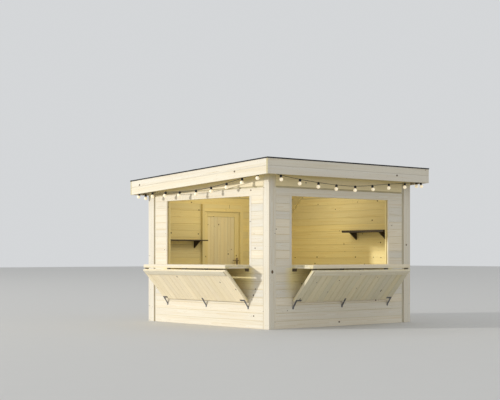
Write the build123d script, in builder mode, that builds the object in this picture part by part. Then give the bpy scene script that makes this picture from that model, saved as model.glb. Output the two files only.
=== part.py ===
"""Street kiosk: a square timber hut with two serving windows and a mono-pitched roof.

Millimetres: X runs along the front wall to the right, Y runs back, Z is up. Pieces are drawn about the
centre of the wall plan and written with the middle of the front left post's foot at the origin.
"""
import os
from math import acos, cos, degrees, pi, radians, sin, sqrt, tan

from build123d import *

os.makedirs("parts", exist_ok=True)

# Plan and walls
plan_width = 3000.0  # outer wall faces, along X
plan_depth = 3000.0  # outer wall faces, along Y
wall_thick = 44.0
board_pitch = 114.0  # one row of wall boards
apron_rows = 8  # rows below a serving window
window_rows = 17  # rows up to the head of the openings
header_height = 126.0  # top board row, over the openings
post_size = 120.0  # square corner posts

# Serving windows, measured from the front left corner on both walls
opening_start = 440.0
opening_width = 2050.0
frame_width = 45.0  # batten frame round the inside of an opening
frame_thick = 28.0
sill_depth = 120.0
sill_thick = 18.0

# Roof
roof_overhang = 211.0  # wall face to fascia face
back_beam_height = 217.5  # back wall's top plank, from its boards up to the roof boards
roof_fall = 171.0  # drop from the front fascia to the back one
felt_thick = 4.0
felt_lip = 14.0  # felt turned down over the fascias
deck_thick = 19.0
fascia_thick = 28.0
fascia_height = 233.0
rafter_width = 45.0
rafter_height = 120.0
rafter_count = 7
rafter_play = 0.5  # each side of a rafter in its pocket

# Folding shutters: a level counter leaf and a hanging leaf
counter_reach = 455.0
counter_top = 928.0
counter_thick = 50.0
leaf_board = 27.0
leaf_batten = 70.0  # width of the battens on both leaves
shutter_play = 2.0  # each end of a leaf
counter_play = 0.3  # counter leaf to the wall
flap_length = 620.0
flap_thick = 45.0
flap_top_back = 21.0  # counter edge to the flap's inner top corner
flap_foot_gap = 16.0  # wall face to the flap's inner bottom corner
flap_drop = 8.0  # counter underside to the flap's inner top corner
flap_batten_back = 22.0  # flap's top edge to its top inner batten
lath_width = 80.0  # outer batten along the flap's top edge
lath_thick = 16.0
lath_inset = 22.0

# Hinges of the shutters
hinge_length = 90.0
hinge_plate = 3.0
hinge_leaf = 38.0
knuckle_radius = 5.0
knuckle_sink = 1.0  # knuckle let into its plate
hinge_inset = 52.0  # opening edge to the middle of an end hinge

# Brackets that hold the flaps' lower edges
bracket_plate = 4.0
bracket_drop = 105.0  # bar down to where the strap leaves the wall
bracket_foot_height = 24.0
bracket_width = 28.0
bracket_bar_reach = 96.0  # end bracket's middle to its bar's end, towards the window's middle
bracket_bar_width = 26.0
bracket_up_face = 38.0  # flap's lower edge to the bar's middle
bracket_inset = 25.0  # opening edge to the middle of an end bracket

# Back door
doorway_left = -453.0
doorway_width = 893.0
door_post = 50.0
door_frame_depth = 90.0
door_head = 50.0
transom_height = 66.0  # board over the frame's head
threshold_height = 22.0
leaf_thick = 42.0
leaf_side_gap = 5.0  # hinge side
leaf_latch_gap = 8.0
leaf_top_gap = 7.0
leaf_bottom_gap = 8.0
door_stile = 95.0
door_top_rail = 85.0
door_bottom_rail = 160.0
door_panel_thick = 18.0
door_panel_recess = 18.0  # leaf's inner face to the panel
pin_radius = 3.0
pin_clearance = 0.3
pin_out = 7.0  # door's face to the pin's centre
door_knuckle = 6.0
door_hinge_height = 90.0
door_hinge_plate = 44.0
door_hinge_inset = 225.0  # leaf's edge to the middle of an end hinge
handle_height = 980.0
handle_plate_width = 38.0
handle_plate_height = 230.0
handle_plate_rise = 50.0  # plate's top above the lever
handle_plate_thick = 4.0
handle_neck = 9.0
handle_projection = 44.0
lever_length = 118.0
lever_height = 20.0
lever_thick = 11.0

# Shelves and braces inside
back_shelf_depth = 200.0
back_shelf_top = 1330.0
shelf_thick = 18.0
right_shelf_depth = 210.0
right_shelf_top = 1485.0
right_shelf_thick = 36.0
right_shelf_start = -1150.0
right_shelf_end = -200.0
shelf_bracket = 24.0
shelf_bracket_drop = 120.0
shelf_bracket_share = 0.8  # of the shelf's depth
shelf_bracket_inset = 140.0
brace_width = 130.0
brace_thick = 45.0
brace_gap = 45.0  # window frame's corner to the brace
brace_top_gap = 37.5  # underside of the roof boards to the brace's top, at the post

# String lights under the eaves
string_inset = 30.0  # inner face of a fascia to the cable
hook_inset = 13.0  # corner of the strings to a hook
cable_diameter = 8.0
arc_share = 0.45  # of the shorter run beside an arc
hook_radius = 3.0
hook_play = 0.3  # under the cable
socket_radius = 19.0
socket_height = 42.0
socket_rise = 8.0  # socket top above the cable's centre
cable_play = 0.3  # round the cable in a socket
bulb_radius = 28.0
bulb_neck = 13.0

cut_past = 1.0  # how far a cut runs past a face

# Worked out from the sizes above
half_w = plan_width / 2
half_d = plan_depth / 2
inner_w = half_w - wall_thick
inner_d = half_d - wall_thick
post_w = half_w - post_size
post_d = half_d - post_size
sill_z = apron_rows * board_pitch
head_z = window_rows * board_pitch
plate_z = head_z + header_height
open_x0 = opening_start - half_w
open_x1 = open_x0 + opening_width
open_y0 = opening_start - half_d
open_y1 = open_y0 + opening_width
roof_w = half_w + roof_overhang
roof_d = half_d + roof_overhang
eaves_w = roof_w - fascia_thick
eaves_d = roof_d - fascia_thick
slope = roof_fall / (2 * roof_d)
doorway_right = doorway_left + doorway_width
clear_left = doorway_left + door_post
clear_right = doorway_right - door_post
door_head_z = head_z - transom_height - door_head
deck_under = felt_thick + deck_thick
back_felt = plate_z + back_beam_height + deck_under  # top of the felt over the back wall's face
roof_height = back_felt + slope * (half_d + roof_d)  # and at the front fascia
to_frame = Location((half_w - post_size / 2, half_d - post_size / 2, 0))

# The left side repeats the front, mirrored about the upright plane through the front left corner
corner_mirror = Plane(origin=(-half_w, -half_d, 0), z_dir=(1, -1, 0))


def roof_z(y, below=0.0):
    """Height of the felt's top at y, or of a plane that much below it."""
    return roof_height - slope * (y + roof_d) - below


def slab(x0, x1, y0, y1, z0, z1, mode=Mode.ADD):
    """Upright block between two corners, added to the part being built."""
    with BuildSketch(Plane.XY.offset(z0)) as base:
        with Locations(((x0 + x1) / 2, (y0 + y1) / 2)):
            Rectangle(x1 - x0, y1 - y0)
    extrude(base.sketch, amount=z1 - z0, mode=mode)


def side_profile(points, x0, x1, mode=Mode.ADD):
    """Outline in Y and Z, extruded from x0 to x1."""
    with BuildSketch(Plane.YZ.offset(x0)) as outline:
        with BuildLine():
            Polyline(*points, close=True)
        make_face()
    extrude(outline.sketch, amount=x1 - x0, mode=mode)


def under_roof(y0, y1, z0, below, x0, x1, mode=Mode.ADD):
    """Block from z0 up to a plane that lies below the felt's top."""
    side_profile([(y0, z0), (y1, z0), (y1, roof_z(y1, below)), (y0, roof_z(y0, below))], x0, x1, mode)


def save(builder, name):
    """Move a finished piece to its frame, label it and write it."""
    piece = builder.part.moved(to_frame)
    piece.label = name
    export_step(piece, f"parts/{name}.step")


def save_mirrored(builder, name):
    """Write the left side's copy of a piece of the front."""
    with BuildPart() as copy:
        mirror(builder.part, about=corner_mirror)
    save(copy, name)


# Front wall
with BuildPart() as front_apron:
    slab(-post_w, post_w, -half_d, -inner_d, 0, sill_z)
save(front_apron, "front_apron")

with BuildPart() as front_left_panel:
    slab(-post_w, open_x0, -half_d, -inner_d, sill_z, head_z)
save(front_left_panel, "front_left_panel")

with BuildPart() as front_right_panel:
    slab(open_x1, post_w, -half_d, -inner_d, sill_z, head_z)
save(front_right_panel, "front_right_panel")

with BuildPart() as front_header:
    slab(-post_w, post_w, -half_d, -inner_d, head_z, plate_z)
save(front_header, "front_header")

# Left wall
with BuildPart() as left_apron:
    slab(-half_w, -inner_w, -post_d, post_d, 0, sill_z)
save(left_apron, "left_apron")

with BuildPart() as left_front_panel:
    slab(-half_w, -inner_w, -post_d, open_y0, sill_z, head_z)
save(left_front_panel, "left_front_panel")

with BuildPart() as left_back_panel:
    slab(-half_w, -inner_w, open_y1, post_d, sill_z, head_z)
save(left_back_panel, "left_back_panel")

with BuildPart() as left_header:
    slab(-half_w, -inner_w, -post_d, post_d, head_z, plate_z)
save(left_header, "left_header")

# Right wall, and the back wall split round its doorway
with BuildPart() as right_wall:
    slab(inner_w, half_w, -post_d, post_d, 0, plate_z)
save(right_wall, "right_wall")

with BuildPart() as back_left_panel:
    slab(-post_w, doorway_left, inner_d, half_d, 0, head_z)
save(back_left_panel, "back_left_panel")

with BuildPart() as back_right_panel:
    slab(doorway_right, post_w, inner_d, half_d, 0, head_z)
save(back_right_panel, "back_right_panel")

with BuildPart() as back_header:
    slab(-post_w, post_w, inner_d, half_d, head_z, plate_z)
save(back_header, "back_header")

# Corner posts, cut to the roof's slope
with BuildPart() as corner_posts:
    for x0 in (-half_w, post_w):
        for y0 in (-half_d, post_d):
            under_roof(y0, y0 + post_size, 0, deck_under, x0, x0 + post_size)
save(corner_posts, "corner_posts")

# Rafters, and the planks that close the walls up to the roof boards
rafter_reach = eaves_w - rafter_width / 2
rafter_step = 2 * rafter_reach / (rafter_count - 1)
rafter_places = [-rafter_reach + i * rafter_step for i in range(rafter_count)]


def rafter(x, play=0.0, mode=Mode.ADD):
    """One rafter along the slope, or the pocket for it."""
    bottom = deck_under + rafter_height
    points = [
        (-eaves_d, roof_z(-eaves_d, bottom)),
        (eaves_d, roof_z(eaves_d, bottom)),
        (eaves_d, roof_z(eaves_d, deck_under)),
        (-eaves_d, roof_z(-eaves_d, deck_under)),
    ]
    side_profile(points, x - rafter_width / 2 - play, x + rafter_width / 2 + play, mode)


with BuildPart() as rafters:
    for x in rafter_places:
        rafter(x)
save(rafters, "rafters")

for name, y0 in (("front_beam", -half_d), ("back_beam", inner_d)):
    with BuildPart() as beam:
        under_roof(y0, y0 + wall_thick, plate_z, deck_under, -post_w, post_w)
        for x in rafter_places:
            if abs(x) < post_w:
                rafter(x, rafter_play, Mode.SUBTRACT)
    save(beam, name)

for name, x0 in (("left_gable", -half_w), ("right_gable", inner_w)):
    with BuildPart() as gable:
        under_roof(-post_d, post_d, plate_z, deck_under, x0, x0 + wall_thick)
    save(gable, name)

# Roof boards, felt and fascias
with BuildPart() as roof_deck:
    side_profile(
        [
            (-eaves_d, roof_z(-eaves_d, deck_under)),
            (eaves_d, roof_z(eaves_d, deck_under)),
            (eaves_d, roof_z(eaves_d, felt_thick)),
            (-eaves_d, roof_z(-eaves_d, felt_thick)),
        ],
        -eaves_w,
        eaves_w,
    )
save(roof_deck, "roof_deck")


def roof_sheet(half_x, half_y, top, bottom, mode=Mode.ADD):
    """Sloping sheet over the whole roof."""
    points = [
        (-half_y, roof_z(-half_y, bottom)),
        (half_y, roof_z(half_y, bottom)),
        (half_y, roof_z(half_y, top)),
        (-half_y, roof_z(-half_y, top)),
    ]
    side_profile(points, -half_x, half_x, mode)


with BuildPart() as roof_felt:
    roof_sheet(roof_w + felt_thick, roof_d + felt_thick, 0, felt_thick + felt_lip)
    roof_sheet(roof_w, roof_d, felt_thick, felt_thick + felt_lip + cut_past, Mode.SUBTRACT)
save(roof_felt, "roof_felt")

for name, x0 in (("left_fascia", -roof_w), ("right_fascia", eaves_w)):
    with BuildPart() as fascia:
        side_profile(
            [
                (-roof_d, roof_z(-roof_d, felt_thick + fascia_height)),
                (roof_d, roof_z(roof_d, felt_thick + fascia_height)),
                (roof_d, roof_z(roof_d, felt_thick)),
                (-roof_d, roof_z(-roof_d, felt_thick)),
            ],
            x0,
            x0 + fascia_thick,
        )
    save(fascia, name)

for name, y0, face in (("front_fascia", -roof_d, -roof_d), ("back_fascia", eaves_d, roof_d)):
    with BuildPart() as fascia:
        under_roof(
            y0, y0 + fascia_thick, roof_z(face, felt_thick + fascia_height), felt_thick, -eaves_w, eaves_w
        )
    save(fascia, name)

# Batten frame and sill of the front window
with BuildPart() as front_window_frame:
    slab(
        open_x0 - frame_width, open_x1 + frame_width, -inner_d, -inner_d + frame_thick,
        sill_z - frame_width, head_z + frame_width,
    )
    slab(open_x0, open_x1, -inner_d, -inner_d + frame_thick, sill_z, head_z, Mode.SUBTRACT)
    slab(open_x0, open_x1, -half_d, -half_d + sill_depth, sill_z, sill_z + sill_thick)
save(front_window_frame, "front_window_frame")
save_mirrored(front_window_frame, "left_window_frame")

# Counter leaf: boards on a batten frame
counter_under = counter_top - counter_thick
leaf_x0 = open_x0 + shutter_play
leaf_x1 = open_x1 - shutter_play
counter_y0 = -half_d - counter_reach
counter_y1 = -half_d - counter_play
mid_x = (open_x0 + open_x1) / 2
between_battens = (
    (leaf_x0 + leaf_batten, mid_x - leaf_batten / 2),
    (mid_x + leaf_batten / 2, leaf_x1 - leaf_batten),
)

with BuildPart() as front_counter:
    slab(leaf_x0, leaf_x1, counter_y0, counter_y1, counter_top - leaf_board, counter_top)
    slab(leaf_x0, leaf_x1, counter_y0, counter_y1, counter_under, counter_top - leaf_board)
    for x0, x1 in between_battens:
        slab(
            x0, x1, counter_y0 + leaf_batten, counter_y1 - leaf_batten,
            counter_under, counter_top - leaf_board, Mode.SUBTRACT,
        )
save(front_counter, "front_counter")
save_mirrored(front_counter, "left_counter")

# Hanging leaf: it slopes from under the counter's edge back to the wall
flap_out = counter_reach - flap_top_back
flap_angle = acos((flap_out - flap_foot_gap) / flap_length)
flap_y = -half_d - flap_out
flap_z = counter_under - flap_drop
batten_end = flap_length - flap_batten_back
# On the leaf's own plane, x runs along the kiosk's X, y runs up the leaf and z points out of its outer face
flap_normal = Vector(0, -sin(flap_angle), -cos(flap_angle))
flap_plane = Plane(origin=(0, flap_y, flap_z), x_dir=(1, 0, 0), z_dir=flap_normal)


def flap_block(x0, x1, up0, up1, out0, out1, mode=Mode.ADD):
    """Block on the hanging leaf: x along the kiosk, up from its lower edge, out from its inner face."""
    with BuildSketch(flap_plane.offset(out0)) as base:
        with Locations(((x0 + x1) / 2, (up0 + up1) / 2 - flap_length)):
            Rectangle(x1 - x0, up1 - up0)
    extrude(base.sketch, amount=out1 - out0, mode=mode)


with BuildPart() as front_flap:
    flap_block(leaf_x0, leaf_x1, 0, flap_length, flap_thick - leaf_board, flap_thick)
    flap_block(leaf_x0, leaf_x1, 0, batten_end, 0, flap_thick - leaf_board)
    for x0, x1 in between_battens:
        flap_block(
            x0, x1, leaf_batten, batten_end - leaf_batten, 0, flap_thick - leaf_board, Mode.SUBTRACT
        )
    flap_block(
        leaf_x0 + lath_inset, leaf_x1 - lath_inset, flap_length - lath_width, flap_length,
        flap_thick, flap_thick + lath_thick,
    )
save(front_flap, "front_flap")
save_mirrored(front_flap, "left_flap")

# Hinges under the counters and at the fold
hinge_places = (open_x0 + hinge_inset, mid_x, open_x1 - hinge_inset)


def rod_x(x0, x1, y, z, radius, mode=Mode.ADD):
    """Round bar along X."""
    with BuildSketch(Plane.YZ.offset(x0)) as section:
        with Locations((y, z)):
            Circle(radius)
    extrude(section.sketch, amount=x1 - x0, mode=mode)


wall_pin_y = -half_d - knuckle_radius
wall_pin_z = counter_under - hinge_plate - knuckle_radius + knuckle_sink
# The fold's knuckle touches the plane of the flap's inner battens, this far in from the flap's top corner
fold_back = (knuckle_radius + (flap_z - wall_pin_z) * cos(flap_angle)) / sin(flap_angle)
fold_down = fold_back * cos(flap_angle) + (flap_z - wall_pin_z) * sin(flap_angle)
fold_pin_y = flap_y + fold_back

with BuildPart() as front_hinges:
    for x in hinge_places:
        x0, x1 = x - hinge_length / 2, x + hinge_length / 2
        slab(x0, x1, -half_d - hinge_plate, -half_d, wall_pin_z - hinge_leaf, wall_pin_z)
        slab(x0, x1, wall_pin_y - hinge_leaf, wall_pin_y, counter_under - hinge_plate, counter_under)
        rod_x(x0, x1, wall_pin_y, wall_pin_z, knuckle_radius)
        slab(x0, x1, fold_pin_y, fold_pin_y + hinge_leaf, counter_under - hinge_plate, counter_under)
        flap_block(x0, x1, flap_length - fold_down - hinge_leaf, flap_length - fold_down, -hinge_plate, 0)
        rod_x(x0, x1, fold_pin_y, wall_pin_z, knuckle_radius)
save(front_hinges, "front_hinges")
save_mirrored(front_hinges, "left_hinges")

# Brackets: a wall foot, a slanting strap and a bar that lies on the flap's outer face
strap_out = flap_foot_gap + flap_thick * sin(flap_angle) + bracket_up_face * cos(flap_angle)
strap_z = flap_z - (flap_length - bracket_up_face) * sin(flap_angle) - flap_thick * cos(flap_angle)
bracket_foot_z = strap_z - bracket_drop
strap_length = sqrt(strap_out**2 + bracket_drop**2)
strap_plane = Plane(
    origin=(0, -half_d, bracket_foot_z), x_dir=(1, 0, 0), z_dir=(0, -bracket_drop, -strap_out)
)
# Place of each bracket, and how far its bar reaches to each side
bracket_side = bracket_width / 2
brackets = (
    (open_x0 + bracket_inset, bracket_side, bracket_bar_reach),
    (mid_x, bracket_side, bracket_side),
    (open_x1 - bracket_inset, bracket_bar_reach, bracket_side),
)

with BuildPart() as front_brackets:
    for x, bar_left, bar_right in brackets:
        slab(
            x - bracket_side, x + bracket_side, -half_d - bracket_plate, -half_d,
            bracket_foot_z - bracket_foot_height, bracket_foot_z + bracket_plate,
        )
        with BuildSketch(strap_plane):
            with BuildLine():
                Polyline(
                    (x - bracket_side, 0),
                    (x - bracket_side, strap_length),
                    (x + bracket_side, strap_length),
                    (x + bracket_side, 0),
                    close=True,
                )
            make_face()
        extrude(amount=bracket_plate)
        flap_block(
            x - bar_left, x + bar_right,
            bracket_up_face - bracket_bar_width / 2, bracket_up_face + bracket_bar_width / 2,
            flap_thick, flap_thick + bracket_plate,
        )
save(front_brackets, "front_brackets")
save_mirrored(front_brackets, "left_brackets")

# Door frame, its posts up to the header and a board over its head
frame_y0 = half_d - door_frame_depth
with BuildPart() as door_frame:
    slab(doorway_left, clear_left, frame_y0, half_d, 0, head_z)
    slab(clear_right, doorway_right, frame_y0, half_d, 0, head_z)
    slab(clear_left, clear_right, frame_y0, half_d, door_head_z, door_head_z + door_head)
    slab(clear_left, clear_right, frame_y0, half_d, door_head_z + door_head, head_z)
    slab(clear_left, clear_right, frame_y0, half_d, 0, threshold_height)
save(door_frame, "door_frame")

# Door leaf: stiles and rails round a boarded panel
leaf_left = clear_left + leaf_side_gap
leaf_right = clear_right - leaf_latch_gap
leaf_bottom = threshold_height + leaf_bottom_gap
leaf_top = door_head_z - leaf_top_gap
leaf_y0 = half_d - leaf_thick
panel_y0 = leaf_y0 + door_panel_recess
with BuildPart() as door_leaf:
    slab(leaf_left, leaf_right, leaf_y0, half_d, leaf_bottom, leaf_top)
    slab(
        leaf_left + door_stile, leaf_right - door_stile, leaf_y0, half_d,
        leaf_bottom + door_bottom_rail, leaf_top - door_top_rail, Mode.SUBTRACT,
    )
save(door_leaf, "door_leaf")

with BuildPart() as door_panel:
    slab(
        leaf_left + door_stile, leaf_right - door_stile, panel_y0, panel_y0 + door_panel_thick,
        leaf_bottom + door_bottom_rail, leaf_top - door_top_rail,
    )
save(door_panel, "door_panel")

# Lever handle on long plates, one each side of the leaf
handle_x = leaf_right - door_stile / 2
with BuildPart() as door_handle:
    for face, out in ((leaf_y0, -1), (half_d, 1)):
        plate_y0, plate_y1 = sorted((face, face + out * handle_plate_thick))
        slab(
            handle_x - handle_plate_width / 2, handle_x + handle_plate_width / 2, plate_y0, plate_y1,
            handle_height + handle_plate_rise - handle_plate_height, handle_height + handle_plate_rise,
        )
        with BuildSketch(Plane.XZ.offset(-face)):
            with Locations((handle_x, handle_height)):
                Circle(handle_neck)
        extrude(amount=-out * handle_projection)
        lever_face = face + out * handle_projection
        lever_y0, lever_y1 = sorted((lever_face - out * lever_thick, lever_face))
        slab(
            handle_x - lever_length, handle_x + handle_neck, lever_y0, lever_y1,
            handle_height - lever_height / 2, handle_height + lever_height / 2,
        )
save(door_handle, "door_handle")

# Door hinges: plates and pins on the frame, plates and knuckles on the leaf
pin_x = clear_left
pin_y = half_d + pin_out
door_hinge_heights = (
    leaf_bottom + door_hinge_inset, (leaf_bottom + leaf_top) / 2, leaf_top - door_hinge_inset
)


def rod_z(x, y, z0, z1, radius, mode=Mode.ADD):
    """Round bar along Z."""
    with BuildSketch(Plane.XY.offset(z0)) as section:
        with Locations((x, y)):
            Circle(radius)
    extrude(section.sketch, amount=z1 - z0, mode=mode)


with BuildPart() as door_hinge_pins:
    for z in door_hinge_heights:
        low, high = z - door_hinge_height / 2, z + door_hinge_height / 2
        slab(pin_x - door_hinge_plate, pin_x - pin_out, half_d, half_d + hinge_plate, low, high)
        slab(pin_x - pin_out, pin_x, half_d, half_d + hinge_plate, low, z)
        rod_z(pin_x, pin_y, low, z, door_knuckle)
        rod_z(pin_x, pin_y, z, high, pin_radius)
save(door_hinge_pins, "door_hinge_pins")

with BuildPart() as door_hinge_leaves:
    for z in door_hinge_heights:
        low, high = z - door_hinge_height / 2, z + door_hinge_height / 2
        slab(pin_x + pin_out, pin_x + door_hinge_plate, half_d, half_d + hinge_plate, low, high)
        slab(pin_x, pin_x + pin_out, half_d, half_d + hinge_plate, z + pin_clearance, high)
        rod_z(pin_x, pin_y, z + pin_clearance, high, door_knuckle)
        rod_z(pin_x, pin_y, z, high, pin_radius + pin_clearance, Mode.SUBTRACT)
save(door_hinge_leaves, "door_hinge_leaves")

# Shelves inside, on the back wall and on the right wall
with BuildPart() as back_shelf:
    shelf_under = back_shelf_top - shelf_thick
    slab(-post_w, doorway_left, inner_d - back_shelf_depth, inner_d, shelf_under, back_shelf_top)
    for x in (-post_w + shelf_bracket_inset, doorway_left - shelf_bracket_inset):
        side_profile(
            [
                (inner_d, shelf_under),
                (inner_d - back_shelf_depth * shelf_bracket_share, shelf_under),
                (inner_d, shelf_under - shelf_bracket_drop),
            ],
            x - shelf_bracket / 2,
            x + shelf_bracket / 2,
        )
save(back_shelf, "back_shelf")

with BuildPart() as right_shelf:
    shelf_under = right_shelf_top - right_shelf_thick
    slab(
        inner_w - right_shelf_depth, inner_w, right_shelf_start, right_shelf_end,
        shelf_under, right_shelf_top,
    )
    for y in (right_shelf_start + shelf_bracket_inset, right_shelf_end - shelf_bracket_inset):
        with BuildSketch(Plane.XZ.offset(-y - shelf_bracket / 2)):
            with BuildLine():
                Polyline(
                    (inner_w, shelf_under),
                    (inner_w - right_shelf_depth * shelf_bracket_share, shelf_under),
                    (inner_w, shelf_under - shelf_bracket_drop),
                    close=True,
                )
            make_face()
        extrude(amount=shelf_bracket)
save(right_shelf, "right_shelf")

# Knee braces from the back posts up along the side walls, at 45 degrees
brace_foot_z = open_y1 + head_z + 2 * frame_width - post_d + brace_gap * sqrt(2)
brace_top_z = roof_z(post_d, deck_under) - brace_top_gap
brace_rise = brace_top_z - brace_foot_z
brace_end = brace_width * sqrt(2)
with BuildPart() as knee_braces:
    for x0 in (-inner_w, inner_w - brace_thick):
        side_profile(
            [
                (post_d, brace_foot_z),
                (post_d, brace_foot_z + brace_end),
                (post_d + brace_end - brace_rise, brace_top_z),
                (post_d - brace_rise, brace_top_z),
            ],
            x0,
            x0 + brace_thick,
        )
save(knee_braces, "knee_braces")

# String lights: one cable a side, hung between hooks on the fascias' backs.
# Each list gives the cable's points as (place along the side, height from the front fascia's lower edge).
# Sockets hang at the inner points.
string_w = eaves_w - string_inset
string_d = eaves_d - string_inset
string_base = roof_height - felt_thick - fascia_height
front_route = [
    (-1640, 30), (-1413, -12), (-1038, -56), (-666, -88), (-290, -108),
    (87, -114), (459, -87), (843, -47), (1213, -21), (1585, 2), (1640, 11),
]
left_route = [
    (-1640, 38), (-1425, 12), (-1087, -35), (-721, -91), (-341, -135),
    (38, -164), (429, -168), (807, -156), (1173, -149), (1545, -152), (1640, -145),
]
back_route = [
    (-1640, -140), (-1463, -156), (-1091, -195), (-719, -224), (-347, -243),
    (25, -250), (397, -242), (769, -221), (1141, -190), (1513, -153), (1640, -138),
]
right_route = [
    (-1640, 36), (-1498, 15), (-1126, -31), (-754, -85), (-382, -130),
    (-10, -160), (362, -168), (734, -162), (1106, -154), (1478, -149), (1640, -141),
]
route_end = front_route[-1][0]


def on_side(side, along, rise):
    """Point of a string on its side of the kiosk."""
    z = string_base + rise
    along_x = along / route_end * (string_w - hook_inset)
    along_y = along / route_end * (string_d - hook_inset)
    if side == "front":
        return Vector(along_x, -string_d, z)
    if side == "back":
        return Vector(along_x, string_d, z)
    if side == "left":
        return Vector(-string_w, along_y, z)
    return Vector(string_w, along_y, z)


routes = {"front": front_route, "left": left_route, "back": back_route, "right": right_route}
outward = {"front": (0, -1, 0), "back": (0, 1, 0), "left": (-1, 0, 0), "right": (1, 0, 0)}
socket_seats = []  # each socket's place on the cable's centre line, and the cable's direction there

for side, route in routes.items():
    points = [on_side(side, *place) for place in route]
    radii = []
    for before, here, after in zip(points, points[1:], points[2:]):
        turn = radians((here - before).get_angle(after - here))
        run = min((here - before).length, (after - here).length)
        radius = arc_share * run / tan(turn / 2)
        radii.append(radius)
        back, ahead = (before - here).normalized(), (after - here).normalized()
        middle = (back + ahead).normalized()
        socket_seats.append((here + middle * (radius / cos(turn / 2) - radius), ahead - back))
    with BuildPart() as cable:
        with BuildLine():
            centre = FilletPolyline(*points, radius=radii)
        with BuildSketch(Plane(origin=centre @ 0, z_dir=centre % 0)):
            Circle(cable_diameter / 2)
        sweep(path=centre)
    save(cable, f"{side}_string")
    expected = pi * (cable_diameter / 2) ** 2 * centre.length
    print(side, "string", round(centre.length), "mm, smallest radius", round(min(radii)),
          "volume ratio", round(cable.part.volume / expected, 4))

# Hooks that carry the string ends
with BuildPart() as string_hooks:
    for side, route in routes.items():
        for place in (route[0], route[-1]):
            end = on_side(side, *place)
            away = Vector(*outward[side])
            step = Vector(0, 0, 1) * (cable_diameter / 2 + hook_radius + hook_play)
            with BuildSketch(Plane(origin=end - step - away * hook_radius * 2, z_dir=away)):
                Circle(hook_radius)
            extrude(amount=string_inset + hook_radius * 2)
save(string_hooks, "string_hooks")

# Sockets clip over the cable, and bulbs screw into them
with BuildPart() as string_sockets:
    for seat, along in socket_seats:
        with BuildSketch(Plane.XY.offset(seat.Z + socket_rise - socket_height)):
            with Locations((seat.X, seat.Y)):
                Circle(socket_radius)
        extrude(amount=socket_height)
        with BuildSketch(Plane(origin=seat, z_dir=along)):
            Circle(cable_diameter / 2 + cable_play)
        extrude(amount=socket_radius + cut_past, both=True, mode=Mode.SUBTRACT)
save(string_sockets, "string_sockets")

bulb_drop = sqrt(bulb_radius**2 - bulb_neck**2)
with BuildPart() as string_bulbs:
    for seat, along in socket_seats:
        base = seat.Z + socket_rise - socket_height
        with BuildSketch(Plane(origin=(seat.X, seat.Y, base), x_dir=(1, 0, 0), z_dir=(0, -1, 0))):
            with BuildLine():
                Line((0, 0), (bulb_neck, 0))
                ThreePointArc((bulb_neck, 0), (bulb_radius, -bulb_drop), (0, -bulb_drop - bulb_radius))
                Line((0, -bulb_drop - bulb_radius), (0, 0))
            make_face()
        revolve(axis=Axis((seat.X, seat.Y, base), (0, 0, 1)))
save(string_bulbs, "string_bulbs")

print("flap angle", round(degrees(flap_angle), 1), "strap", round(strap_out), round(strap_z))
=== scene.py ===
import math
import random

import bmesh
import bpy
from mathutils import Matrix, Vector


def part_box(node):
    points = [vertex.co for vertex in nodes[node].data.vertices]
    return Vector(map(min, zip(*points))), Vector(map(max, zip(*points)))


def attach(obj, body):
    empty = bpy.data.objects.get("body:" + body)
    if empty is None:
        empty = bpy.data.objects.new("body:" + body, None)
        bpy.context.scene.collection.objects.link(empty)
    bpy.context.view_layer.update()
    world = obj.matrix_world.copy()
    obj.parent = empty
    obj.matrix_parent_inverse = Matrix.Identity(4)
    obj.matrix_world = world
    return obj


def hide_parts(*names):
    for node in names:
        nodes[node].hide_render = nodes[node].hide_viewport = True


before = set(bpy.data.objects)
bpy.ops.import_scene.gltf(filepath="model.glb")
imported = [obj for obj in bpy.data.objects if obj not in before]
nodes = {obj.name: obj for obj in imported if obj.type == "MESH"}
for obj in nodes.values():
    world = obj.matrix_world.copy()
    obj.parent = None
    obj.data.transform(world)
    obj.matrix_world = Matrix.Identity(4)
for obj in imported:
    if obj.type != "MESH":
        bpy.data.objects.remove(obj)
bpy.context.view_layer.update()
print("frame loaded,", len(nodes), "nodes")

# The hut is laid out about the middle of its plan, and moved to the frame's own corner as it is made
postLow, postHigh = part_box("corner_posts")
centre = Vector(((postLow.x + postHigh.x) / 2, (postLow.y + postHigh.y) / 2, 0))
toRow = Matrix.Translation(centre)
frontToLeft = Matrix(((0, 1, 0, 0), (1, 0, 0, 0), (0, 0, 1, 0), (0, 0, 0, 1)))


def planBox(node):  # a node's corners, from the middle of the plan
    low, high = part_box(node)
    return low - centre, high - centre


halfPlan = planBox("corner_posts")[1].x
postEdge, apronBack, sillZ = planBox("front_apron")[1]
wallThick = apronBack + halfPlan
innerFace = halfPlan - wallThick
headZ = planBox("front_header")[0].z
openLow, openHigh = planBox("front_left_panel")[1].x, planBox("front_right_panel")[0].x
counterLow, counterHigh = planBox("front_counter")
roofOut = planBox("left_fascia")[1].y
feltTop = planBox("roof_felt")[1].z
fasciaLow = planBox("front_fascia")[0].z
fasciaHeight = planBox("front_fascia")[1].z - fasciaLow
sideLow, sideHigh = planBox("left_fascia")
slope = (sideHigh.z - sideLow.z - fasciaHeight) / (2 * roofOut)

# Camera at the photograph's viewpoint
camera = dict(
    fromCentre=(-12.359, -13.961), height=1.0686, heading=40.12,  # metres, metres, degrees right of +Y
    lensPixels=1150.66, horizonRow=255.42, photoWidth=500, photoHeight=400, sensor=36.0,
)


def makeCamera(spec):
    data = bpy.data.cameras.new("camera")
    data.sensor_width = spec["sensor"]
    data.lens = spec["lensPixels"] * spec["sensor"] / spec["photoWidth"]
    data.shift_y = (spec["horizonRow"] - spec["photoHeight"] / 2) / spec["photoWidth"]
    data.clip_end = 400
    made = bpy.data.objects.new("camera", data)
    made.location = centre + Vector((*spec["fromCentre"], spec["height"]))
    made.rotation_euler = (math.radians(90), 0, -math.radians(spec["heading"]))
    bpy.context.scene.collection.objects.link(made)
    bpy.context.scene.camera = made


makeCamera(camera)
print("camera set")


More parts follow.
